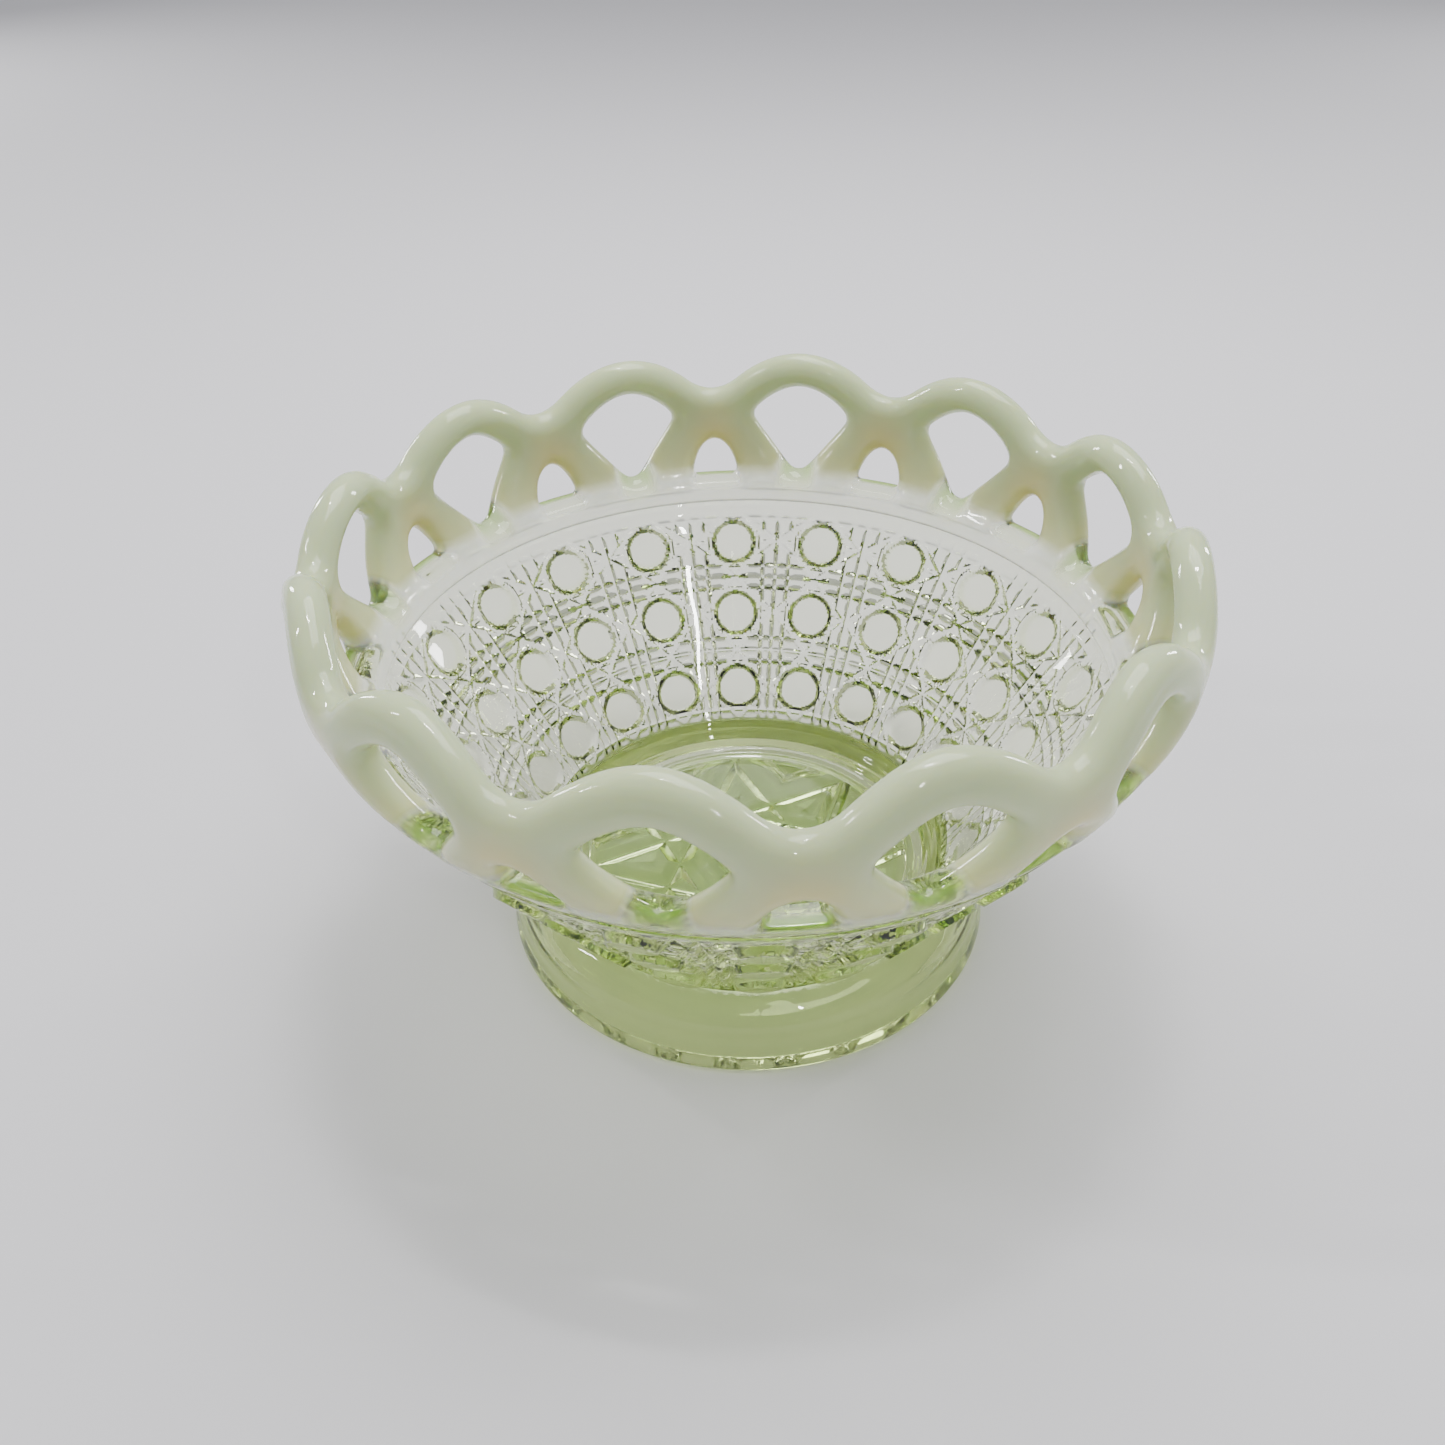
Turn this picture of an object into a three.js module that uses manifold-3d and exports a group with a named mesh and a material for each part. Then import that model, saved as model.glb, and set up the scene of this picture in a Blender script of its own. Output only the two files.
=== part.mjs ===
// Open-edge bowl in pressed uranium glass, an all-glass table dish that stands on a hollow foot.
// Millimetres, +Z up, origin at the centre of the foot's underside. Heights in this file start
// FOOT_DROP above that underside, and every finished body is raised by it.
// Angles are degrees clockwise from +Y, seen from above, and a rim crown lies at angle 0.
// The whole bowl is one pressing. Its zones are separate bodies, set FIT apart.
import * as THREE from 'three';
import { mergeVertices } from 'three/addons/utils/BufferGeometryUtils.js';
import Module from 'manifold-3d';

const wasm = await Module();
wasm.setup();

const FIT = 0.3; // clearance between neighbouring bodies
const ROUND_STEPS = 60; // facets round every turned body

// Foot and base
const FOOT_DROP = 2;
const FOOT_R = 59.5;
const FOOT_INNER_R = 50.5;
const FOOT_TOP_Z = 14.8;
const BASE_R = 46;
const BASE_UNDER_Z = 5.5;
const FLOOR_Z = 11;
const STAR_POINTS = 16;
const STAR_R = 41.5;
const STAR_DEPTH = 1.2;

// Wall: a straight cone, given by its outer radius at two heights
const WALL_LOW = { r: 50.4, z: 15.1 };
const WALL_HIGH = { r: 90.6, z: 73.2 };
const WALL_T = 6; // measured level, from outer face to inner face
const WALL_SLOPE = (WALL_HIGH.r - WALL_LOW.r) / (WALL_HIGH.z - WALL_LOW.z);
const BAND_Z = 63.8; // where the patterned wall ends and the plain band begins
const LIP_T = 8.4; // the band thickens to this where it carries the rim

// Buttons: flat-topped studs in radial columns
const BUTTON_COLUMNS = 20;
const BUTTON_ROWS_Z = [22.7, 40.1, 56.2];
const BUTTON_R = 6.4;
const BUTTON_TOP_R = 5.6;
const BUTTON_RISE = 1.6;

// Rim: a pierced ribbon, shaped as twelve arches whose legs cross their neighbours'
const ARCHES = 12;
const ARCH_PITCH = 360 / ARCHES;
const RIM_R = 93; // radius at which distances round the rim are measured
const RIM_T = 8.2;
const RIM_BASE_Z = WALL_HIGH.z + FIT;
const CROWN_Z = 106.5;
const DIP_Z = 96.1;
// Right half of the large window under each crown: distance from its middle, then height
const WINDOW = [[3.1, 76.2], [8, 81.6], [12, 86.6], [12.8, 88.9], [11.8, 91.2], [8.1, 94.3], [4, 96.5]];
const WINDOW_ENDS = { low: 74.6, high: 97.3 };
// Right half of the small eye under each crossing, likewise
const EYE = [[6.6, 70], [6.4, 74.8], [5.6, 77.4], [4.1, 80.1], [2.2, 81.9]];
const EYE_ENDS = { low: 70, high: 82.6 };

const radians = (degrees) => (degrees * Math.PI) / 180;

function polar(angle, r, z) {
  const a = radians(angle);
  return new THREE.Vector3(r * Math.sin(a), r * Math.cos(a), z);
}

function solidOf(geometry) {
  const bare = geometry.index ? geometry.toNonIndexed() : geometry.clone();
  bare.deleteAttribute('normal');
  bare.deleteAttribute('uv');
  const merged = mergeVertices(bare, 1e-4);
  const mesh = new wasm.Mesh({
    numProp: 3,
    vertProperties: new Float32Array(merged.attributes.position.array),
    triVerts: new Uint32Array(merged.index.array),
  });
  return new wasm.Manifold(mesh);
}

function geometryOf(solid) {
  const mesh = solid.getMesh();
  const geometry = new THREE.BufferGeometry();
  geometry.setAttribute('position', new THREE.BufferAttribute(new Float32Array(mesh.vertProperties), 3));
  geometry.setIndex(new THREE.BufferAttribute(new Uint32Array(mesh.triVerts), 1));
  const flat = geometry.toNonIndexed();
  flat.computeVertexNormals();
  return flat;
}

// Turns a closed [radius, height] outline about the vertical axis.
function turned(outline) {
  const points = outline.map(([r, z]) => new THREE.Vector2(r, z));
  const lathe = new THREE.LatheGeometry(points, ROUND_STEPS);
  lathe.rotateX(Math.PI / 2);
  return lathe;
}

// Stands a flat outline on end: its x runs round the bowl, its y up, its depth inward from radius r.
function radialPrism(shape, angle, r, depth) {
  const prism = new THREE.ExtrudeGeometry(shape, { depth, bevelEnabled: false, curveSegments: 5 });
  const out = polar(angle, 1, 0);
  const up = new THREE.Vector3(0, 0, 1);
  const side = new THREE.Vector3().crossVectors(up, out);
  prism.applyMatrix4(new THREE.Matrix4().makeBasis(side, up, out));
  prism.translate(out.x * (r - depth), out.y * (r - depth), 0);
  return prism;
}

function wallRadius(z) {
  return WALL_LOW.r + (z - WALL_LOW.z) * WALL_SLOPE;
}

function clearGlass() {
  return new THREE.MeshStandardMaterial({ color: 0xcfdcae, roughness: 0.05, metalness: 0 });
}

function footGlass() {
  return new THREE.MeshStandardMaterial({ color: 0xb4cc7c, roughness: 0.05, metalness: 0 });
}

function opalGlass() {
  return new THREE.MeshStandardMaterial({ color: 0xb9c3a6, roughness: 0.12, metalness: 0 });
}

function named(name, geometry, material) {
  geometry.translate(0, 0, FOOT_DROP);
  const mesh = new THREE.Mesh(geometry, material);
  mesh.name = name;
  return mesh;
}

// Upright ring that the bowl stands on, with a small bevel at each bottom edge.
function footRing() {
  const outline = [
    [FOOT_INNER_R, -FOOT_DROP],
    [FOOT_R - 0.9, -FOOT_DROP],
    [FOOT_R, 1 - FOOT_DROP],
    [FOOT_R - 0.4, 1.6],
    [FOOT_R - 1.9, 8.4],
    [FOOT_R - 4.2, 12.4],
    [WALL_LOW.r + 0.6, FOOT_TOP_Z],
    [BASE_R + FIT, FOOT_TOP_Z],
    [BASE_R + FIT, BASE_UNDER_Z - 0.3],
    [FOOT_INNER_R - 1.6, 2.2],
    [FOOT_INNER_R, -FOOT_DROP],
  ];
  return named('foot_ring', turned(outline), footGlass());
}

// Pointed star, sunk into the underside of the base.
function starCutter() {
  const star = new THREE.Shape();
  for (let i = 0; i < STAR_POINTS * 2; i += 1) {
    const tip = polar((i * 180) / STAR_POINTS, i % 2 ? STAR_R * 0.45 : STAR_R, 0);
    if (i === 0) star.moveTo(tip.x, tip.y);
    else star.lineTo(tip.x, tip.y);
  }
  star.closePath();
  const cutter = new THREE.ExtrudeGeometry(star, { depth: STAR_DEPTH + 1, bevelEnabled: false });
  cutter.translate(0, 0, BASE_UNDER_Z - 1);
  return cutter;
}

// Floor of the bowl. Its edge curves up to meet the wall.
function baseDisc() {
  const innerR = WALL_LOW.r - WALL_T;
  const outline = [
    [0, BASE_UNDER_Z],
    [BASE_R, BASE_UNDER_Z],
    [BASE_R, FOOT_TOP_Z],
    [innerR - 0.2, FOOT_TOP_Z],
    [innerR - 1.8, FLOOR_Z + 1.9],
    [innerR - 4.6, FLOOR_Z + 0.5],
    [innerR - 8.5, FLOOR_Z],
    [0, FLOOR_Z],
  ];
  const disc = solidOf(turned(outline)).subtract(solidOf(starCutter()));
  return named('base_disc', geometryOf(disc), clearGlass());
}

// One stud, square to the sloping wall and sunk a little way into it.
function button(angle, z) {
  const sunk = 1.2;
  const height = BUTTON_RISE + sunk;
  const stud = new THREE.CylinderGeometry(BUTTON_TOP_R, BUTTON_R, height, 10);
  stud.translate(0, height / 2 - sunk, 0);
  const along = new THREE.Vector3(Math.sin(radians(angle)), Math.cos(radians(angle)), -WALL_SLOPE);
  const turn = new THREE.Quaternion().setFromUnitVectors(new THREE.Vector3(0, 1, 0), along.normalize());
  stud.applyQuaternion(turn);
  const seat = polar(angle, wallRadius(z), z);
  stud.translate(seat.x, seat.y, seat.z);
  return stud;
}

// Sloping wall, with its rows of buttons on the outside.
function bowlWall() {
  const top = BAND_Z - FIT;
  const outline = [
    [WALL_LOW.r, WALL_LOW.z],
    [wallRadius(top), top],
    [wallRadius(top) - WALL_T, top],
    [WALL_LOW.r - WALL_T, WALL_LOW.z],
    [WALL_LOW.r, WALL_LOW.z],
  ];
  let wall = solidOf(turned(outline));
  for (const z of BUTTON_ROWS_Z) {
    for (let column = 0; column < BUTTON_COLUMNS; column += 1) {
      wall = wall.add(solidOf(button((column * 360) / BUTTON_COLUMNS, z)));
    }
  }
  return named('bowl_wall', geometryOf(wall), clearGlass());
}

// Plain band that the rim rises from.
function shoulderBand() {
  const outline = [
    [wallRadius(BAND_Z), BAND_Z],
    [WALL_HIGH.r, WALL_HIGH.z],
    [WALL_HIGH.r - LIP_T, WALL_HIGH.z],
    [wallRadius(BAND_Z) - WALL_T, BAND_Z],
    [wallRadius(BAND_Z), BAND_Z],
  ];
  return named('shoulder_band', turned(outline), clearGlass());
}

// Mid-surface radius of the rim at height z: it leans out from the band, then in to the crown.
function rimRadius(z) {
  const base = 86.4;
  const lean = 0.334;
  const curl = 0.0185;
  const upright = 101; // above this the crown stands straight
  const h = Math.min(z, upright);
  return base + lean * (h - 73) - curl * (h - 73) * (h - 91);
}

// Height of the scalloped top edge at a distance from the nearest crown.
function topEdge(fromCrown) {
  const half = (Math.PI * RIM_R) / ARCHES;
  const turnover = 0.72; // share of the way down where the crown's curve meets the dip's
  const t = Math.min(Math.abs(fromCrown) / half, 1);
  const drop = t < turnover ? (t * t) / turnover : 1 - (1 - t) ** 2 / (1 - turnover);
  return CROWN_Z - (CROWN_Z - DIP_Z) * drop;
}

// Full ring of the ribbon, before it is pierced.
function ribbon() {
  const steps = 10;
  const inner = [];
  const outer = [];
  for (let i = 0; i <= steps; i += 1) {
    const z = RIM_BASE_Z + ((CROWN_Z - RIM_BASE_Z) * i) / steps;
    inner.push([rimRadius(z) - RIM_T / 2, z]);
    outer.push([rimRadius(z) + RIM_T / 2, z]);
  }
  return turned([...outer, ...inner.reverse(), outer[0]]);
}

// Cutter for a mirrored opening, right through the ribbon.
function openingCutter(angle, rightHalf, ends) {
  const outline = new THREE.Shape();
  outline.moveTo(0, ends.low);
  for (const [x, z] of rightHalf) outline.lineTo(x, z);
  outline.lineTo(0, ends.high);
  for (const [x, z] of [...rightHalf].reverse()) outline.lineTo(-x, z);
  outline.closePath();
  return radialPrism(outline, angle, 110, 40);
}

// Cutter for all that lies above the scalloped edge between two crowns.
function edgeCutter(angle) {
  const steps = 16;
  const half = (Math.PI * RIM_R) / ARCHES;
  const outline = new THREE.Shape();
  outline.moveTo(-half - 2, 120);
  outline.lineTo(-half - 2, topEdge(0));
  for (let i = 1; i < steps; i += 1) {
    const x = -half + (2 * half * i) / steps;
    outline.lineTo(x, topEdge(half - Math.abs(x)));
  }
  outline.lineTo(half + 2, topEdge(0));
  outline.lineTo(half + 2, 120);
  outline.closePath();
  return radialPrism(outline, angle, 110, 40);
}

// Sector between two neighbouring crowns, above the band, that one rim link fills.
function linkSector() {
  const inset = FIT / 2;
  const near = polar(0, 60, 0);
  const far = polar(0, 120, 0);
  const nearEnd = polar(ARCH_PITCH, 60, 0);
  const farEnd = polar(ARCH_PITCH, 120, 0);
  const turn = polar(ARCH_PITCH - 90, inset, 0);
  const sector = new THREE.Shape();
  sector.moveTo(near.x + inset, near.y);
  sector.lineTo(nearEnd.x + turn.x, nearEnd.y + turn.y);
  sector.lineTo(farEnd.x + turn.x, farEnd.y + turn.y);
  sector.lineTo(far.x + inset, far.y);
  sector.closePath();
  const block = new THREE.ExtrudeGeometry(sector, { depth: 60, bevelEnabled: false });
  block.translate(0, 0, RIM_BASE_Z);
  return block;
}

// Crossing of two arches with half of each, the pair of legs below it and the eye between them.
function linkGeometry() {
  const middle = ARCH_PITCH / 2;
  const link = solidOf(ribbon())
    .intersect(solidOf(linkSector()))
    .subtract(solidOf(edgeCutter(middle)))
    .subtract(solidOf(openingCutter(0, WINDOW, WINDOW_ENDS)))
    .subtract(solidOf(openingCutter(ARCH_PITCH, WINDOW, WINDOW_ENDS)))
    .subtract(solidOf(openingCutter(middle, EYE, EYE_ENDS)));
  return geometryOf(link);
}

function rimLinks() {
  const links = [];
  for (let i = 0; i < ARCHES; i += 1) {
    const geometry = linkGeometry();
    geometry.rotateZ(-radians(i * ARCH_PITCH));
    const number = String(i + 1).padStart(2, '0');
    links.push(named(`rim_link_${number}`, geometry, opalGlass()));
  }
  return links;
}

const dish = new THREE.Group();
dish.name = 'uranium_glass_dish';
dish.add(footRing(), baseDisc(), bowlWall(), shoulderBand(), ...rimLinks());

export default dish;
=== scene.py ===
from math import cos, hypot, pi, radians, sin

import bmesh
import bpy
import numpy as np
from mathutils import Matrix, Vector


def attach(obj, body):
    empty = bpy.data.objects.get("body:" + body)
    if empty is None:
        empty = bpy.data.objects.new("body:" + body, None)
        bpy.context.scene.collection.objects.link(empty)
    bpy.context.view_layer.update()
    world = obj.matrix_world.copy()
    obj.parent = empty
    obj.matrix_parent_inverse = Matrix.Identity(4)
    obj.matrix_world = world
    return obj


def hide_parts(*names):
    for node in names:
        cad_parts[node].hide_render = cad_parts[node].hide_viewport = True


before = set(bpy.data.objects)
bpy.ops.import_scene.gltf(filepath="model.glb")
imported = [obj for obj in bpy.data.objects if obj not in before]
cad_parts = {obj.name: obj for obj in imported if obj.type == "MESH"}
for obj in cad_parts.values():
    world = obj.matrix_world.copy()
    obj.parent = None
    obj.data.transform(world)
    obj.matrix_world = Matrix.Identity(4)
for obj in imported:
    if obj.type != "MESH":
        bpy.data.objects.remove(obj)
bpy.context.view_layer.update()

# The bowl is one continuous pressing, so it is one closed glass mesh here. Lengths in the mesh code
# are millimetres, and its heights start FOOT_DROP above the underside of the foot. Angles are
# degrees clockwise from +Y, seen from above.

MM = 0.001

# ---- driving dimensions ----
ARCHES = 12
ARCH_PITCH = 360 / ARCHES
BUTTON_COLUMNS = 20
COLUMNS = 900  # mesh columns round the bowl, a multiple of ARCHES and of BUTTON_COLUMNS
COLUMN_STEP = 360 / COLUMNS
FOOT_DROP = 2.0

# Rim: a ribbon that stands on the band, and a net of points over it.
RIM_R = 93.0  # radius at which distances round the rim are measured
RIM_FOOT_R = 86.4
RIM_FOOT_Z = 73.0
RIM_FOOT_T = 6.2
RIM_FOOT_SLOPE = 0.58
RIM_LEAN = 0.334  # slope from the band's top to BULGE_TALL above it
BULGE = 0.0185  # how strongly the rim bows out between the two
BULGE_TALL = 18.0
RIM_T = 8.2
EDGE_ROUND = 4.3
CROWN_TOP_Z = 106.4
DIP_TOP_Z = 96.1
TURNOVER = 0.72  # where the top edge's curve turns over, as a share of the way from crown to dip
NET_PITCH = 0.62
NET_Z = (69.3, 107.8)
NET_R = (77.7, 100.2)

# Right-hand halves of the openings, from bottom to top: distance round the rim from the opening's
# middle, and height. The eye reaches below the band's top, which closes it.
WINDOW = ((0, 74.6), (3.1, 76.2), (8, 81.6), (12, 86.6), (12.8, 88.9), (11.8, 91.2), (8.1, 94.3),
          (4, 96.5), (0, 97.3))
EYE = ((0, 60), (6.6, 62), (6.6, 72), (6.4, 74.8), (5.6, 77.4), (4.1, 80.1), (2.2, 81.9), (0, 82.6))

# Band and wall. A slope is the radius gained for each millimetre of height.
BAND_TOP_Z = 73.4
BAND_TOP_R = 90.5
BAND_INNER_R = 82.3
BAND_INNER_SLOPE = 0.479
WALL_LOW_R = 50.4
WALL_LOW_Z = 15.1
WALL_SLOPE = 0.6918
WALL_OUT = 1 / hypot(1, WALL_SLOPE)  # outward and downward parts of the wall's normal
WALL_DOWN = WALL_SLOPE * WALL_OUT

# Pressed pattern. A groove is its half width and its depth.
ROW_Z = (22.7, 40.1, 56.2)
CELL_TALL = 20.0
BUTTON_FLAT_R = 5.0
BUTTON_BASE_R = 6.5
BUTTON_RISE = 1.4
BUTTON_SINK = 0.9  # how far the foot of a button's side lies under the wall's surface
DIAGONAL_GROOVE = (1.35, 1.0)
STRAIGHT_GROOVE = (1.55, 1.25)
HATCH_GROOVE = (1.55, 1.3)
HATCH_SHIFT = 0.155  # from the middle of a diamond, in cells
RAY_GROOVE = (0.7, 0.6)
BUTTON_GROOVE = (0.9, 0.9)

# Foot and floor.
FLOOR_TOP_Z = 11.0
FLOOR_UNDER_Z = 5.7
HOLLOW_R = 45.0
STAR_R = 41.0
STAR_POINTS = 8
STAR_TURN = 7.0
STAR_DEPTH = 2.0
SEAM_ANGLE = 18.0
SEAM_RISE = 0.16

# Camera, in metres and degrees. The viewer's axes are x to the right and y away.
VIEW_TURN = 20.47
CAMERA_DISTANCE = 0.33345
CAMERA_ELEVATION = 43.12
CAMERA_YAW = -1.33
CAMERA_PITCH = 36.03
CAMERA_ROLL = -1.07
LENS = 32.014
SENSOR = 36.0


# ---- small helpers ----
def ramp(x, low, high):
    """0 below low, 1 above high, smooth between."""
    t = np.clip((x - low) / (high - low), 0, 1)
    return t * t * (3 - 2 * t)


def blend_min(a, b, width):
    """Smaller of two distances, with a fillet of about width where they meet."""
    gap = np.maximum(width - np.abs(a - b), 0) / width
    return np.minimum(a, b) - gap * gap * width / 4


def blend_max(a, b, width):
    return -blend_min(-a, -b, width)


def hump(x, middle, spread):
    """1 at the middle, falling to almost nothing two spreads away."""
    return np.exp(-(((x - middle) / spread) ** 2))


def polar(angle, r, z):
    a = np.radians(angle)
    return np.stack([r * np.sin(a), r * np.cos(a), z + 0 * a], axis=-1)


# ---- rim: a pierced ribbon over the band, as a distance field ----
def outer_line(z):
    """Radius of the outside of the wall and band at a height."""
    return BAND_TOP_R + WALL_SLOPE * (z - BAND_TOP_Z)


def inner_line(z):
    """Radius of the inside of the band at a height."""
    return BAND_INNER_R + BAND_INNER_SLOPE * (z - BAND_TOP_Z)


def rim_radius(z):
    """Mid-surface radius of the rim at a height. It leans out from the band, then in to the crown."""
    up = z - RIM_FOOT_Z
    leaning = RIM_FOOT_R + RIM_LEAN * up - BULGE * up * (up - BULGE_TALL)
    return np.where(z < RIM_FOOT_Z, RIM_FOOT_R + RIM_FOOT_SLOPE * up, leaning)


def smooth_loop(half, steps):
    """Closed smooth outline through the right-hand points of a mirrored shape, from bottom to top."""
    left = [(-x, z) for x, z in reversed(half) if x > 0]
    loop = np.array(list(half) + left)
    out = []
    for i in range(len(loop)):
        p0, p1, p2, p3 = (loop[(i + k) % len(loop)] for k in (-1, 0, 1, 2))
        for t in np.arange(steps) / steps:
            turn = (2 * p1 + (p2 - p0) * t + (2 * p0 - 5 * p1 + 4 * p2 - p3) * t**2
                    + (3 * p1 - p0 - 3 * p2 + p3) * t**3)
            out.append(turn / 2)
    return np.array(out)


def outline_distance(x, z, loop):
    """Signed distance to a closed outline, negative inside it."""
    best = np.full(len(x), 1e3)
    inside = np.zeros(len(x), bool)
    for (ax, az), (bx, bz) in zip(loop, np.roll(loop, -1, axis=0)):
        ex, ez = bx - ax, bz - az
        t = np.clip(((x - ax) * ex + (z - az) * ez) / (ex * ex + ez * ez), 0, 1)
        best = np.minimum(best, np.hypot(x - ax - t * ex, z - az - t * ez))
        crossed = (az > z) != (bz > z)
        inside ^= crossed & (x < ax + (z - az) * ex / (ez if ez else 1e-9))
    return np.where(inside, -best, best)


def rim_offsets(points):
    """Distance round the rim from the nearest crown and from the nearest crossing."""
    angle = np.degrees(np.arctan2(points[:, 0], points[:, 1]))
    from_crown = angle - ARCH_PITCH * np.round(angle / ARCH_PITCH)
    crossing = angle - ARCH_PITCH / 2
    from_crossing = crossing - ARCH_PITCH * np.round(crossing / ARCH_PITCH)
    per_degree = pi / 180 * RIM_R
    return from_crown * per_degree, from_crossing * per_degree


def top_edge(from_crown):
    """Height of the scalloped top edge, broad at the crown and tight at the dip, and its slope."""
    half = pi * RIM_R / ARCHES
    t = np.minimum(np.abs(from_crown) / half, 1)
    near = t < TURNOVER
    drop = np.where(near, t * t / TURNOVER, 1 - (1 - t) ** 2 / (1 - TURNOVER))
    fall = np.where(near, 2 * t / TURNOVER, 2 * (1 - t) / (1 - TURNOVER)) / half
    tall = CROWN_TOP_Z - DIP_TOP_Z
    return CROWN_TOP_Z - tall * drop, tall * fall


def ribbon_distance(points, window, eye):
    """Distance to the ribbon with its windows and eyes, its cross-section rounded towards every edge."""
    x, e = rim_offsets(points)
    z = points[:, 2]
    r = np.hypot(points[:, 0], points[:, 1])
    top, slope = top_edge(x)
    edge = (top - z) / np.sqrt(1 + slope * slope)
    edge = blend_min(edge, outline_distance(x, z, window), 1.0)
    edge = blend_min(edge, outline_distance(e, z, eye), 1.0)
    edge = np.minimum(edge, z - 68.4)
    half = (RIM_FOOT_T + (RIM_T - RIM_FOOT_T) * ramp(z, 69, 77)) / 2
    out = np.clip(1 - edge / EDGE_ROUND, 0, 4)
    across = (r - rim_radius(np.minimum(z, top - EDGE_ROUND))) / half
    return (across * across + out * out - 1) * 2.0


def band_distance(points):
    """Signed distance to the band that carries the rim, closed at its top only."""
    r = np.hypot(points[:, 0], points[:, 1])
    z = points[:, 2]
    outer = (r - outer_line(z)) * WALL_OUT
    inner = (inner_line(z) - r) / hypot(1, BAND_INNER_SLOPE)
    sides = np.maximum(outer, inner)
    return blend_max(sides, z - BAND_TOP_Z, 1.6)


def rim_distance(points, shapes):
    return blend_min(band_distance(points), ribbon_distance(points, *shapes), 2.4)


def net_cells(field):
    """For each cell of a grid that is periodic along its first axis: the sum of the places where the
    zero surface crosses the cell's edges, and how many there are."""
    count, rows, depth = field.shape
    ahead = np.roll(field, -1, axis=0)
    total = np.zeros((count, rows - 1, depth - 1, 3), np.float32)
    hits = np.zeros((count, rows - 1, depth - 1), np.float32)
    corners = {}
    for da in (0, 1):
        for dz in (0, 1):
            for dr in (0, 1):
                source = ahead if da else field
                corners[da, dz, dr] = source[:, dz : rows - 1 + dz, dr : depth - 1 + dr]
    for start, low in corners.items():
        for axis in range(3):
            if start[axis]:
                continue
            end = tuple(1 if i == axis else start[i] for i in range(3))
            high = corners[end]
            crossed = (low < 0) != (high < 0)
            t = np.where(crossed, low / np.where(crossed, low - high, 1), 0)
            for i in range(3):
                total[..., i] += np.where(crossed, start[i] + (t if i == axis else 0), 0)
            hits += crossed
    return total, hits


def net_faces(field, ids):
    """One quad for every grid edge that the surface crosses."""
    count, rows, depth = field.shape
    inside = field < 0
    before = np.roll(ids, 1, axis=0)
    quads = []

    def add(cross, first, cells):
        corners = np.stack([c[cross] for c in cells], axis=-1)
        reverse = first[cross]
        quads.append(corners[reverse][:, ::-1])
        quads.append(corners[~reverse])

    low, high = inside[:, 1:-1, :-1], inside[:, 1:-1, 1:]
    add(low != high, low, (before[:, :-1], ids[:, :-1], ids[:, 1:], before[:, 1:]))
    low, high = inside[:, :-1, 1:-1], inside[:, 1:, 1:-1]
    add(low != high, low, (before[:, :, 1:], ids[:, :, 1:], ids[:, :, :-1], before[:, :, :-1]))
    low, high = inside[:, 1:-1, 1:-1], np.roll(inside, -1, axis=0)[:, 1:-1, 1:-1]
    cells = (ids[:, :-1, :-1], ids[:, :-1, 1:], ids[:, 1:, 1:], ids[:, 1:, :-1])
    add(low != high, low, cells)
    return np.concatenate(quads)


def settle(points, fixed_height, shapes):
    """Moves net points onto the surface. Those of fixed height only move level, in or out."""
    step = 0.02
    for _ in range(4):
        here = rim_distance(points, shapes)
        slope = np.empty_like(points)
        for axis in range(3):
            moved = points.copy()
            moved[:, axis] += step
            slope[:, axis] = (rim_distance(moved, shapes) - here) / step
        out = points.copy()
        out[:, 2] = 0
        out /= np.linalg.norm(out, axis=1)[:, None]
        level = (slope * out).sum(1)
        towards = np.where(fixed_height[:, None], out / np.where(np.abs(level) < 0.2, 1, level)[:, None],
                           slope / np.maximum((slope * slope).sum(1), 0.1)[:, None])
        points = points - np.clip(here, -0.5, 0.5)[:, None] * towards
    return points


def net_spots(total, hits, shapes):
    """Net points of one arch. Those of the lowest two rows stay level, in the middle of their column."""
    active = hits > 0
    cell = np.argwhere(active)
    place = total[active] / hits[active][:, None] + cell
    low = cell[:, 1] < 2
    place[low, :2] = cell[low, :2] + 0.5
    angle = place[:, 0] * COLUMN_STEP
    height = NET_Z[0] + place[:, 1] * NET_PITCH
    radius = NET_R[0] + place[:, 2] * NET_PITCH
    return settle(polar(angle, radius, height), low, shapes)


def turned(points, angle):
    """Points turned clockwise about the axis."""
    c, s = cos(radians(angle)), sin(radians(angle))
    x, y, z = points.T
    return np.stack([x * c + y * s, y * c - x * s, z], axis=1)


def rim_mesh():
    """Vertices and quads of the rim, and the ids of its two open bottom loops, outer and inner."""
    sector = COLUMNS // ARCHES
    angles = np.arange(sector) * COLUMN_STEP
    heights = np.arange(*NET_Z, NET_PITCH)
    radii = np.arange(*NET_R, NET_PITCH)
    a, z, r = np.meshgrid(angles, heights, radii, indexing="ij")
    shapes = (smooth_loop(WINDOW, 4), smooth_loop(EYE, 4))
    distance = rim_distance(polar(a.ravel(), r.ravel(), z.ravel()), shapes)
    field = np.tile(distance.reshape(a.shape).astype(np.float32), (ARCHES, 1, 1))
    total, hits = net_cells(field)
    active = hits > 0
    ids = np.full(active.shape, -1, np.int64)
    ids[active] = np.arange(active.sum())
    spots = net_spots(total[:sector], hits[:sector], shapes)
    points = np.concatenate([turned(spots, i * ARCH_PITCH) for i in range(ARCHES)])
    bottom = [ids[i, 0][active[i, 0]] for i in range(COLUMNS)]
    outer = np.array([column[-1] for column in bottom])
    inner = np.array([column[0] for column in bottom])
    return points, net_faces(field, ids), outer, inner


# ---- body: turned profile with the pressed pattern raised on it ----
def vee(distance, half_width, depth):
    """Depth of a groove at a distance from its line: sharp at the bottom, with rounded shoulders."""
    return -depth * np.maximum(0, 1 - np.abs(distance) / half_width) ** 1.5


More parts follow.
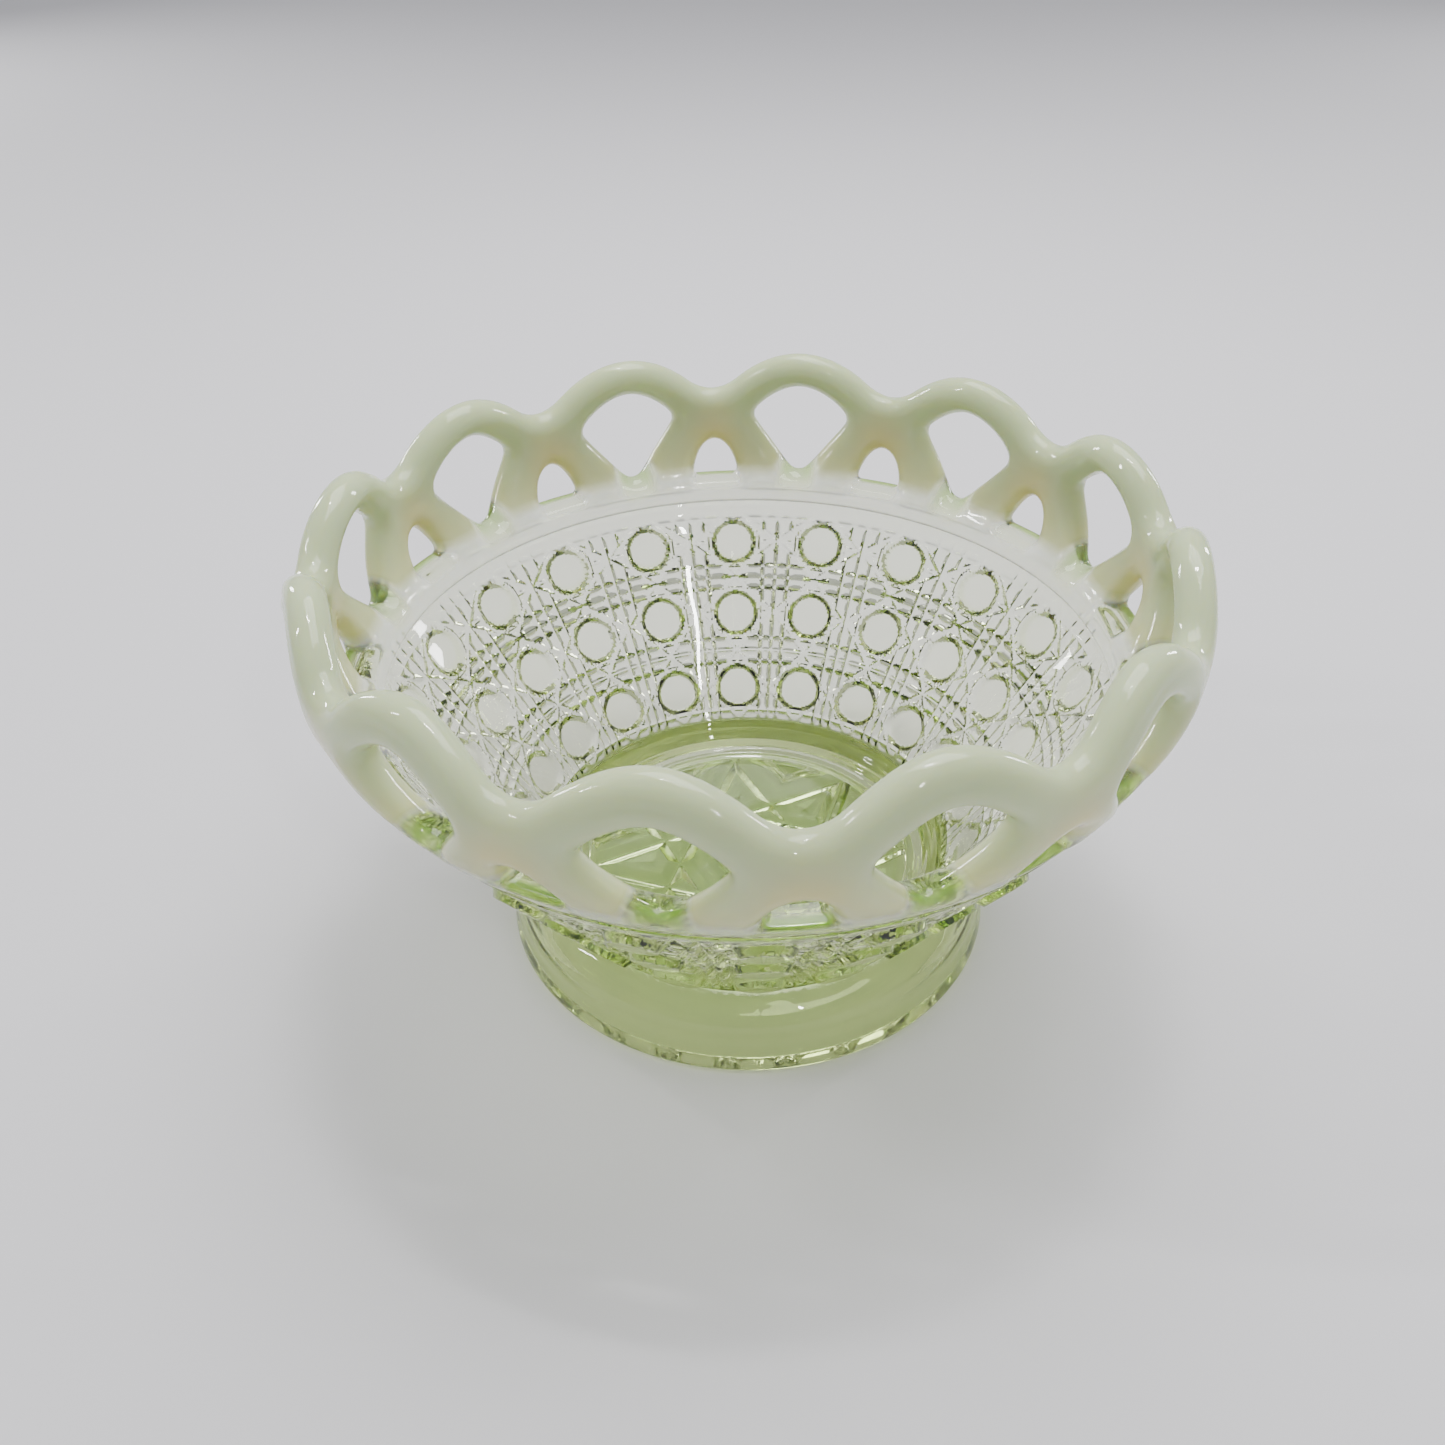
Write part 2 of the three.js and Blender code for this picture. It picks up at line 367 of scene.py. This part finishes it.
def off_half(x):
    """Distance from x to the nearest half-integer."""
    return np.abs(x - np.floor(x) - 0.5)


def pattern_cells(angle, z):
    """Button column and row numbers of a place on the wall, and the size of one pattern cell there."""
    u = angle / (360 / BUTTON_COLUMNS)
    v = np.interp(z, (15.3, *ROW_Z, 67.8), (-0.5, 0, 1, 2, 2.7))
    across = 2 * pi * (WALL_LOW_R + WALL_SLOPE * (z - WALL_LOW_Z)) / BUTTON_COLUMNS
    return u, v, across, CELL_TALL


def button_offset(angle, z):
    """Distances across and up from the middle of the nearest button."""
    u, v, across, up = pattern_cells(angle, z)
    row = np.clip(np.round(v), 0, len(ROW_Z) - 1)
    return (u - np.round(u)) * across, (v - row) * up


def hatching(u, v, across, up):
    """Grooves of the diamonds between four buttons, two each way, and a mask that is true in them."""
    hu = u - np.floor(u) - 0.5
    hv = v - np.floor(v) - 0.5
    lines = np.zeros_like(u)
    for shift in (-HATCH_SHIFT, HATCH_SHIFT):
        for offset in ((hu - shift) * across, (hv - shift) * up):
            lines = np.minimum(lines, vee(offset, *HATCH_GROOVE))
    return lines, np.abs(hu) + np.abs(hv) < 0.5


def ground_height(angle, z):
    """Depth of the grooves between the buttons: crossing lines, hatched diamonds and star rays."""
    u, v, across, up = pattern_cells(angle, z)
    x, y = button_offset(angle, z)
    slant = (across + up) / 2 / np.sqrt(2)
    ground = vee(off_half(u + v) * slant, *DIAGONAL_GROOVE)
    ground = np.minimum(ground, vee(off_half(u - v) * slant, *DIAGONAL_GROOVE))
    ground = np.minimum(ground, vee(off_half(u) * across, *STRAIGHT_GROOVE))
    ground = np.minimum(ground, vee(off_half(v) * up, *STRAIGHT_GROOVE))
    hatch, in_hatch = hatching(u, v, across, up)
    rays = np.minimum(vee(x, *RAY_GROOVE), vee(y, *RAY_GROOVE))
    ground = np.minimum(ground, np.where(in_hatch, hatch, rays))
    ground = np.minimum(ground, vee(np.hypot(x, y) - BUTTON_BASE_R - 0.4, *BUTTON_GROOVE))
    return ground * (1 - 0.75 * ramp(v, 2.2, 2.45)) * (1 - 0.6 * ramp(-v, 0.3, 0.48))


def pattern_height(angle, z):
    """Height of the pressed pattern above the wall: flat-topped buttons on the grooved ground."""
    away = np.hypot(*button_offset(angle, z))
    side = (BUTTON_BASE_R - away) / (BUTTON_BASE_R - BUTTON_FLAT_R)
    button = (BUTTON_RISE + BUTTON_SINK) * np.clip(side, 0, 1) - BUTTON_SINK
    height = np.where(away < BUTTON_BASE_R, button, ground_height(angle, z))
    return height * ramp(z, 15.2, 16.6) * (1 - ramp(z, 66.2, 67.2))


def seam_height(angle):
    """Fine raised line where the two halves of the mould met."""
    off = np.abs((angle - SEAM_ANGLE + 90) % 180 - 90)
    return SEAM_RISE * np.maximum(0, 1 - off / 0.45)


def star_height(angle, r):
    """Relief under the base: ridges in a star, each from one point to the third along, with domed
    panels between them."""
    a = np.radians(angle)
    x, y = r * np.sin(a), r * np.cos(a)
    nearest = np.full_like(x, 99.0)
    for i in range(STAR_POINTS):
        turn = radians(i * 360 / STAR_POINTS + STAR_TURN)
        line = np.abs(x * cos(turn) + y * sin(turn) - STAR_R * cos(3 * pi / STAR_POINTS))
        nearest = np.minimum(nearest, line)
    dome = 1.2 * np.clip((nearest - 2.9) / 6, 0, 1) ** 2
    panel = STAR_DEPTH * np.clip((nearest - 0.3) / 2.6, 0, 1) - dome
    return panel * (1 - ramp(r, STAR_R - 0.6, STAR_R + 0.6))


def foot_rings(z):
    """Faint rings round the outside of the foot."""
    rings = 0.08 * sin(2 * pi * z / 3.1) + 0.05 * sin(z + 1)
    return rings * ramp(z, 1.0, 3.0) * (1 - ramp(z, 11, 13))


def corner_rings(r):
    """Fine rings where the inside of the wall turns into the floor."""
    return 0.10 * sin(2 * pi * r / 1.9) * ramp(r, 36, 38) * (1 - ramp(r, 46.4, 47.4))


def wall_swell(angle, z):
    """Slow waves left in the inside of the wall."""
    a = np.radians(angle)
    waves = np.sin(3 * a + z / 9) + 0.7 * np.sin(7 * a - z / 5 + 1) + 0.5 * np.sin(11 * a + z / 3.4)
    return 0.05 * waves * ramp(z, 14, 24) * (1 - ramp(z, 58, 65))


def relief(kind, angle, r, z):
    """Radii and heights round a row at r and z, once what its kind of surface carries is added."""
    radius = np.full(COLUMNS, float(r))
    height = np.full(COLUMNS, float(z))
    if kind == "pattern":
        rise = pattern_height(angle, height) + seam_height(angle)
        return radius + rise * WALL_OUT, height - rise * WALL_DOWN
    if kind == "star":
        return radius, height + star_height(angle, radius)
    if kind == "foot":
        return radius + foot_rings(z) + seam_height(angle) * ramp(z, -1.7, 0), height
    if kind == "corner":
        return radius, height + corner_rings(r)
    if kind == "inside":
        return radius + wall_swell(angle, z), height
    return radius, height


def rounded(corners, bend):
    """Profile through corners (r, z, radius), with each corner turned into an arc of short steps."""
    path = []
    for i, (r, z, radius) in enumerate(corners):
        here = np.array([r, z])
        if radius == 0 or i in (0, len(corners) - 1):
            path.append(here)
            continue
        back = np.array(corners[i - 1][:2]) - here
        ahead = np.array(corners[i + 1][:2]) - here
        reach = min(radius, 0.49 * np.linalg.norm(back), 0.49 * np.linalg.norm(ahead))
        start = here + back / np.linalg.norm(back) * reach
        end = here + ahead / np.linalg.norm(ahead) * reach
        for t in np.linspace(0, 1, bend):
            path.append((1 - t) ** 2 * start + 2 * t * (1 - t) * here + t * t * end)
    return np.array(path)


def stepped(path, step):
    """Same path with its long stretches split into pieces of about step."""
    out = [path[0]]
    for a, b in zip(path[:-1], path[1:]):
        pieces = max(1, int(round(np.linalg.norm(b - a) / step)))
        for t in np.arange(1, pieces + 1) / pieces:
            out.append(a + (b - a) * t)
    return np.array(out)


def outer_rows(start_z):
    """Rows from the rim's outer loop down the wall, round the foot and in to the middle of the base.
    Each row is its radius, its height, and the kind of surface it lies on."""
    rows = []

    def add(path, kind):
        rows.extend((r, z, kind) for r, z in path)

    band = [(outer_line(start_z), start_z, 0), (outer_line(69.0), 69.0, 0.5),
            (outer_line(68.5) - 0.5, 68.5, 0.4), (outer_line(67.4) - 0.2, 67.4, 0)]
    add(stepped(rounded(band, 4), 0.7)[1:], "plain")
    wall_z = np.arange(67.2, WALL_LOW_Z, -0.36)
    add(np.stack([WALL_LOW_R + WALL_SLOPE * (wall_z - WALL_LOW_Z), wall_z], 1), "pattern")
    foot = [(50.6, 14.9, 0), (52.6, 14.3, 1.6), (55.4, 12.0, 2.0), (57.6, 8.0, 2.6), (58.9, 1.6, 1.8),
            (59.3, -0.9, 0.8), (58.5, -1.95, 0.7), (52.0, -1.95, 0.8), (51.0, -0.4, 1.0),
            (49.6, 4.8, 1.2), (HOLLOW_R, FLOOR_UNDER_Z, 0)]
    for r, z in stepped(rounded(foot, 5), 0.6):
        rows.append((r, z, "foot" if r > 50.5 else "plain"))
    star_r = np.arange(44.6, 0.5, -0.42)
    add(np.stack([star_r, 0 * star_r + FLOOR_UNDER_Z], 1), "star")
    return rows


def inner_rows(start_z):
    """Rows from the rim's inner loop down the inside of the wall to the middle of the floor."""
    lip = [(inner_line(start_z), start_z, 0), (inner_line(68.9), 68.9, 0.5),
           (inner_line(68.3) + 0.7, 68.3, 0.4), (inner_line(65.6) + 0.1, 65.6, 0)]
    wall = [lip[-1], (77.6, 63.2, 3), (58.0, 34.5, 6), (47.6, 19.6, 0)]
    corner = [wall[-1], (45.4, 16.6, 2.5), (41.0, 12.2, 3.5), (36.0, 11.2, 1.5), (33.0, 11.05, 0)]
    floor = [corner[-1], (1.0, FLOOR_TOP_Z, 0)]
    stretches = ((lip, 0.5, "plain"), (wall, 1.3, "inside"), (corner, 0.35, "corner"),
                 (floor, 1.3, "inside"))
    rows = []
    for path, step, kind in stretches:
        rows.extend((r, z, kind) for r, z in stepped(rounded(path, 6), step)[1:])
    return rows


def sweep(rows, loop, first_id):
    """Turns rows about the axis, from a loop of existing vertices to one vertex at the middle."""
    angle = (np.arange(COLUMNS) + 0.5) * COLUMN_STEP
    points, quads = [], []
    last = loop
    for i, (r, z, kind) in enumerate(rows):
        radius, height = relief(kind, angle, r, z)
        points.append(polar(angle, radius, height))
        ids = first_id + i * COLUMNS + np.arange(COLUMNS)
        quads.append(np.stack([last, np.roll(last, -1), np.roll(ids, -1), ids], 1))
        last = ids
    points.append([[0, 0, points[-1][0][2]]])
    middle = np.full(COLUMNS, first_id + len(rows) * COLUMNS)
    triangles = np.stack([last, np.roll(last, -1), middle], 1)
    return np.concatenate(points), np.concatenate(quads), triangles


def body_mesh(outer_loop, inner_loop, rim_points):
    """Body below the rim's two loops, whose points it shares."""
    start_z = float(rim_points[outer_loop[0], 2])
    outside = sweep(outer_rows(start_z), outer_loop, len(rim_points))
    inside = sweep(inner_rows(start_z), inner_loop, len(rim_points) + len(outside[0]))
    return [np.concatenate(pair) for pair in zip(outside, inside)]


# ---- colour zones, stored on the mesh ----
def radius_height(points):
    return np.hypot(points[:, 0], points[:, 1]), points[:, 2]


def button_side(points):
    """1 on the sloping sides of the buttons, fading to 0 within two millimetres of them."""
    angle = np.degrees(np.arctan2(points[:, 0], points[:, 1]))
    r, z = radius_height(points)
    away = np.hypot(*button_offset(angle, z))
    on_outside = ramp(r - inner_line(z), 2.2, 3.2)
    return hump(away, (BUTTON_FLAT_R + BUTTON_BASE_R) / 2, 0.8) * on_outside


def opening_feet(points):
    """Nearness to the foot of a window and to the foot of an eye, and 1 on the outside of the rim."""
    x, e = rim_offsets(points)
    r, z = radius_height(points)
    window = 0.9 * (1 - ramp(np.abs(x), 3, 7.5)) * hump(z, 76, 4)
    eye = (1 - ramp(np.abs(e), 5, 7.5)) * hump(z, 73.2, 1.6)
    return window, eye, ramp(r - rim_radius(z), -1, 1.5)


def milkiness(points):
    """How milky the glass is: the rim strongly, the band thinly, the feet of the openings hardly."""
    x, e = rim_offsets(points)
    r, z = radius_height(points)
    by_window = 1 - ramp(np.abs(x), 3, 7.5)
    by_eye = 1 - ramp(np.abs(e), 5, 10)
    start = 71 + 8 * by_window
    rim = 0.93 * ramp(z, start, start + 8) * (1 - by_eye * (1 - ramp(z, 73.6, 75)))
    outer_half = ramp(r - rim_radius(np.minimum(z, RIM_FOOT_Z)), -2.5, 0.5)
    cleared = np.maximum(outer_half * ramp(z, 67, 69), ramp(z, 71, 73)) * np.maximum(by_window, by_eye)
    band = 0.24 * ramp(z, 67.6, 69.6) * (1 - 0.95 * cleared) + 0.03 * ramp(z, 56, 66) * (1 - cleared)
    foot = 0.02 * (1 - ramp(z, 11.5, 18.5))
    window, eye, outside = opening_feet(points)
    veil = 0.30 * outside * np.maximum(window, eye)
    return np.maximum.reduce([rim, band, foot, veil])


def warmness(points):
    """How warm the milky glass is: most over the eyes, and a little all round over the band."""
    e = rim_offsets(points)[1]
    z = points[:, 2]
    return np.clip(hump(e, 0, 8) * hump(z, 85, 7) + 0.5 * hump(z, 77, 6), 0, 1)


def greenness(points):
    """How green the surface looks: the foot, the base, the buttons' sides and the openings' feet. The
    foot's green is paled where the inside of the wall turns into the floor, as painted light that
    brightens the ring there.
    """
    r, z = radius_height(points)
    foot = 1 - ramp(z, 11.5, 18.5)
    base = foot * (1 - ramp(r, 43, 49))
    # Painted light: the corner where the inside of the wall meets the floor gets less green, a painted
    # brightening of the ring that the glass's shape shades darker there.
    corner = ramp(r, 37, 41) * ramp(z, 10.9, 11.8) * (1 - ramp(r - outer_line(z), -4.5, -3))
    thick = foot * (0.47 - 0.37 * corner) + 0.16 * base * (1 - corner)
    window, eye, outside = opening_feet(points)
    return thick + np.maximum(window, eye * (0.25 + 0.75 * outside)) + 0.45 * button_side(points)


# ---- the bowl's mesh ----
def mesh_from(points, quads, triangles):
    mesh = bpy.data.meshes.new("bowl_glass")
    corners = np.concatenate([quads.ravel(), triangles.ravel()])
    starts = np.concatenate([np.arange(len(quads)) * 4, len(quads) * 4 + np.arange(len(triangles)) * 3])
    mesh.vertices.add(len(points))
    mesh.vertices.foreach_set("co", points.ravel())
    mesh.loops.add(len(corners))
    mesh.loops.foreach_set("vertex_index", corners.astype(np.int32))
    mesh.polygons.add(len(starts))
    mesh.polygons.foreach_set("loop_start", starts.astype(np.int32))
    mesh.update(calc_edges=True)
    mesh.validate()
    return mesh


def make_bowl():
    rim_points, rim_quads, outer_loop, inner_loop = rim_mesh()
    body_points, body_quads, triangles = body_mesh(outer_loop, inner_loop, rim_points)
    points = np.concatenate([rim_points, body_points])
    quads = np.concatenate([rim_quads, body_quads])
    mesh = mesh_from((points + [0, 0, FOOT_DROP]) * MM, quads, triangles)
    for name, zone in (("milk", milkiness), ("warmth", warmness), ("green", greenness)):
        values = zone(points).astype(np.float32)
        mesh.attributes.new(name, "FLOAT", "POINT").data.foreach_set("value", values)
    bowl = bpy.data.objects.new("bowl_glass", mesh)
    bpy.context.scene.collection.objects.link(bowl)
    return bowl


def face_outward(bowl):
    """Turns every face outward, then shades the mesh smooth except at its sharp edges."""
    bm = bmesh.new()
    bm.from_mesh(bowl.data)
    bmesh.ops.recalc_face_normals(bm, faces=bm.faces)
    bm.to_mesh(bowl.data)
    bm.free()
    bowl.data.shade_smooth()
    bowl.data.set_sharp_from_angle(angle=radians(24))


# ---- materials ----
def node(tree, kind, x, y, **values):
    made = tree.nodes.new(kind)
    made.location = (x, y)
    for name, value in values.items():
        setattr(made, name, value)
    return made


def math_node(tree, x, y, operation, *values, clamp=False):
    """Output of a math node whose inputs are numbers or other nodes' outputs."""
    made = node(tree, "ShaderNodeMath", x, y, operation=operation, use_clamp=clamp)
    for socket, value in zip(made.inputs, values):
        if isinstance(value, (int, float)):
            socket.default_value = value
        else:
            tree.links.new(value, socket)
    return made.outputs[0]


def noise_node(tree, place, x, y, scale, detail):
    made = node(tree, "ShaderNodeTexNoise", x, y)
    made.inputs["Scale"].default_value = scale
    made.inputs["Detail"].default_value = detail
    tree.links.new(place.outputs["Object"], made.inputs["Vector"])
    return made.outputs["Fac"]


def zone_node(tree, name, x, y):
    """Output of a zone stored on the mesh."""
    return node(tree, "ShaderNodeAttribute", x, y, attribute_name=name).outputs["Fac"]


def cloudy_milk(tree, place):
    """How milky the glass is, with slight clouds in it."""
    cloud = noise_node(tree, place, -1300, -250, 45, 3)
    drift = math_node(tree, -1100, -250, "MULTIPLY_ADD", cloud, 0.24, 0.88)
    return math_node(tree, -900, 0, "MULTIPLY", zone_node(tree, "milk", -1100, 100), drift)


def milk_colour(tree):
    """Pale green milk that turns to peach where the rim is warm."""
    opal = node(tree, "ShaderNodeMix", -600, 500, data_type="RGBA")
    opal.inputs["A"].default_value = (0.55, 0.64, 0.41, 1)
    opal.inputs["B"].default_value = (0.66, 0.635, 0.32, 1)
    tree.links.new(zone_node(tree, "warmth", -1100, 500), opal.inputs["Factor"])
    return opal.outputs["Result"]


def clear_colour(tree):
    """Almost no colour in thin glass, through light green to a strong green."""
    body = node(tree, "ShaderNodeValToRGB", -800, 700)
    body.color_ramp.elements.new(0.5)
    shades = ((0.995, 0.995, 0.985, 1), (0.87, 0.945, 0.67, 1), (0.32, 0.60, 0.09, 1))
    for stop, at, shade in zip(body.color_ramp.elements, (0, 0.5, 1), shades):
        stop.position = at
        stop.color = shade
    tree.links.new(zone_node(tree, "green", -1100, 700), body.inputs["Fac"])
    return body.outputs["Color"]


def soft_ripple(tree, place):
    """The slight unevenness of a surface that was fire-polished."""
    bump = node(tree, "ShaderNodeBump", -400, -500)
    bump.inputs["Strength"].default_value = 0.04
    bump.inputs["Distance"].default_value = 0.001
    tree.links.new(noise_node(tree, place, -700, -500, 60, 2), bump.inputs["Height"])
    return bump.outputs["Normal"]


def uranium_glass():
    """Clear yellow-green glass that turns milky towards the rim, as heat-struck glass does."""
    material = bpy.data.materials.new("uranium_glass")
    material.use_nodes = True
    tree = material.node_tree
    shader = tree.nodes["Principled BSDF"]
    shader.inputs["IOR"].default_value = 1.5
    shader.inputs["Roughness"].default_value = 0.0
    shader.inputs["Subsurface Weight"].default_value = 1.0
    shader.inputs["Subsurface Radius"].default_value = (1.0, 0.85, 0.5)
    shader.inputs["Subsurface Scale"].default_value = 0.010

    place = node(tree, "ShaderNodeTexCoord", -1500, 0)
    milky = cloudy_milk(tree, place)
    clear = math_node(tree, -400, 0, "SUBTRACT", 1.0, milky, clamp=True)
    tree.links.new(clear, shader.inputs["Transmission Weight"])
    tree.links.new(soft_ripple(tree, place), shader.inputs["Normal"])

    tint = node(tree, "ShaderNodeMix", -300, 300, data_type="RGBA")
    spread = math_node(tree, -500, 200, "MULTIPLY_ADD", milky, 1.8, -0.45, clamp=True)
    tree.links.new(spread, tint.inputs["Factor"])
    tree.links.new(clear_colour(tree), tint.inputs["A"])
    tree.links.new(milk_colour(tree), tint.inputs["B"])
    tree.links.new(tint.outputs["Result"], shader.inputs["Base Color"])

    absorb = node(tree, "ShaderNodeVolumeAbsorption", 0, -300)
    absorb.inputs["Color"].default_value = (0.82, 0.95, 0.20, 1)
    absorb.inputs["Density"].default_value = 36.0
    tree.links.new(absorb.outputs[0], tree.nodes["Material Output"].inputs["Volume"])
    return material


def floor_material():
    material = bpy.data.materials.new("pale_floor")
    material.use_nodes = True
    tree = material.node_tree
    shader = tree.nodes["Principled BSDF"]
    shader.inputs["Roughness"].default_value = 0.75
    place = node(tree, "ShaderNodeTexCoord", -900, 0)
    cloud = noise_node(tree, place, -700, 0, 1.5, 2)
    tone = node(tree, "ShaderNodeMix", -400, 0, data_type="RGBA")
    tone.inputs["A"].default_value = (0.70, 0.69, 0.715, 1)
    tone.inputs["B"].default_value = (0.73, 0.72, 0.745, 1)
    tree.links.new(cloud, tone.inputs["Factor"])
    tree.links.new(tone.outputs["Result"], shader.inputs["Base Color"])
    return material


# ---- stage, light and camera ----
def make_floor():
    mesh = bpy.data.meshes.new("floor")
    half = 6.0
    corners = [(-half, -half, 0), (half, -half, 0), (half, half, 0), (-half, half, 0)]
    mesh.from_pydata(corners, [], [(0, 1, 2, 3)])
    floor = bpy.data.objects.new("floor", mesh)
    floor.location.z = -0.0002
    floor.data.materials.append(floor_material())
    bpy.context.scene.collection.objects.link(floor)


def to_part(x, y, z):
    """A place or direction in the viewer's axes, turned into the part's frame."""
    turn = radians(VIEW_TURN)
    return Vector((x * cos(turn) + y * sin(turn), y * cos(turn) - x * sin(turn), z))


def area_light(name, place, aim, size, power):
    data = bpy.data.lights.new(name, "AREA")
    data.shape = "RECTANGLE"
    data.size, data.size_y = size
    data.energy = power
    light = bpy.data.objects.new(name, data)
    light.location = to_part(*place)
    light.rotation_euler = (to_part(*aim) - light.location).to_track_quat("-Z", "Y").to_euler()
    bpy.context.scene.collection.objects.link(light)


def make_lights():
    world = bpy.data.worlds.new("studio")
    world.use_nodes = True
    background = world.node_tree.nodes["Background"]
    background.inputs["Color"].default_value = (0.95, 0.96, 1.0, 1)
    background.inputs["Strength"].default_value = 0.56
    bpy.context.scene.world = world
    area_light("overhead", (0.1, 0.3, 0.8), (0, 0.22, 0), (0.7, 0.5), 7.0)
    area_light("left_window", (-1.3, 1.2, 0.5), (0, 0, 0.05), (0.14, 0.45), 8)
    area_light("right_window", (1.3, 1.1, 0.5), (0, 0, 0.05), (0.12, 0.40), 6)
    area_light("left_strip", (-1.1, 0.0, 0.95), (0, 0, 0.08), (0.05, 0.30), 4)
    area_light("lamp_behind_camera", (0.42, -0.90, 0.83), (0, 0, 0.05), (0.028, 0.16), 2)
    area_light("ceiling_lamp", (0.05, 0.25, 1.4), (0, 0, 0.05), (0.25, 0.04), 4)


def make_camera():
    elevation = radians(CAMERA_ELEVATION)
    yaw, pitch, roll = radians(CAMERA_YAW), radians(CAMERA_PITCH), radians(CAMERA_ROLL)
    height = CAMERA_DISTANCE * sin(elevation) + FOOT_DROP * MM
    place = to_part(0, -CAMERA_DISTANCE * cos(elevation), height)
    forward = to_part(sin(yaw) * cos(pitch), cos(yaw) * cos(pitch), -sin(pitch))
    right = forward.cross(Vector((0, 0, 1))).normalized()
    up = right.cross(forward)
    right, up = cos(roll) * right + sin(roll) * up, -sin(roll) * right + cos(roll) * up
    data = bpy.data.cameras.new("camera")
    data.lens = LENS
    data.sensor_width = SENSOR
    data.clip_start = 0.01
    camera = bpy.data.objects.new("camera", data)
    matrix = Matrix((right, up, -forward)).transposed().to_4x4()
    matrix.translation = place
    camera.matrix_world = matrix
    bpy.context.scene.collection.objects.link(camera)
    bpy.context.scene.camera = camera


make_camera()
bowl = make_bowl()
face_outward(bowl)
bowl.data.materials.append(uranium_glass())
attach(bowl, "root")
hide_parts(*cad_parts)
make_floor()
make_lights()
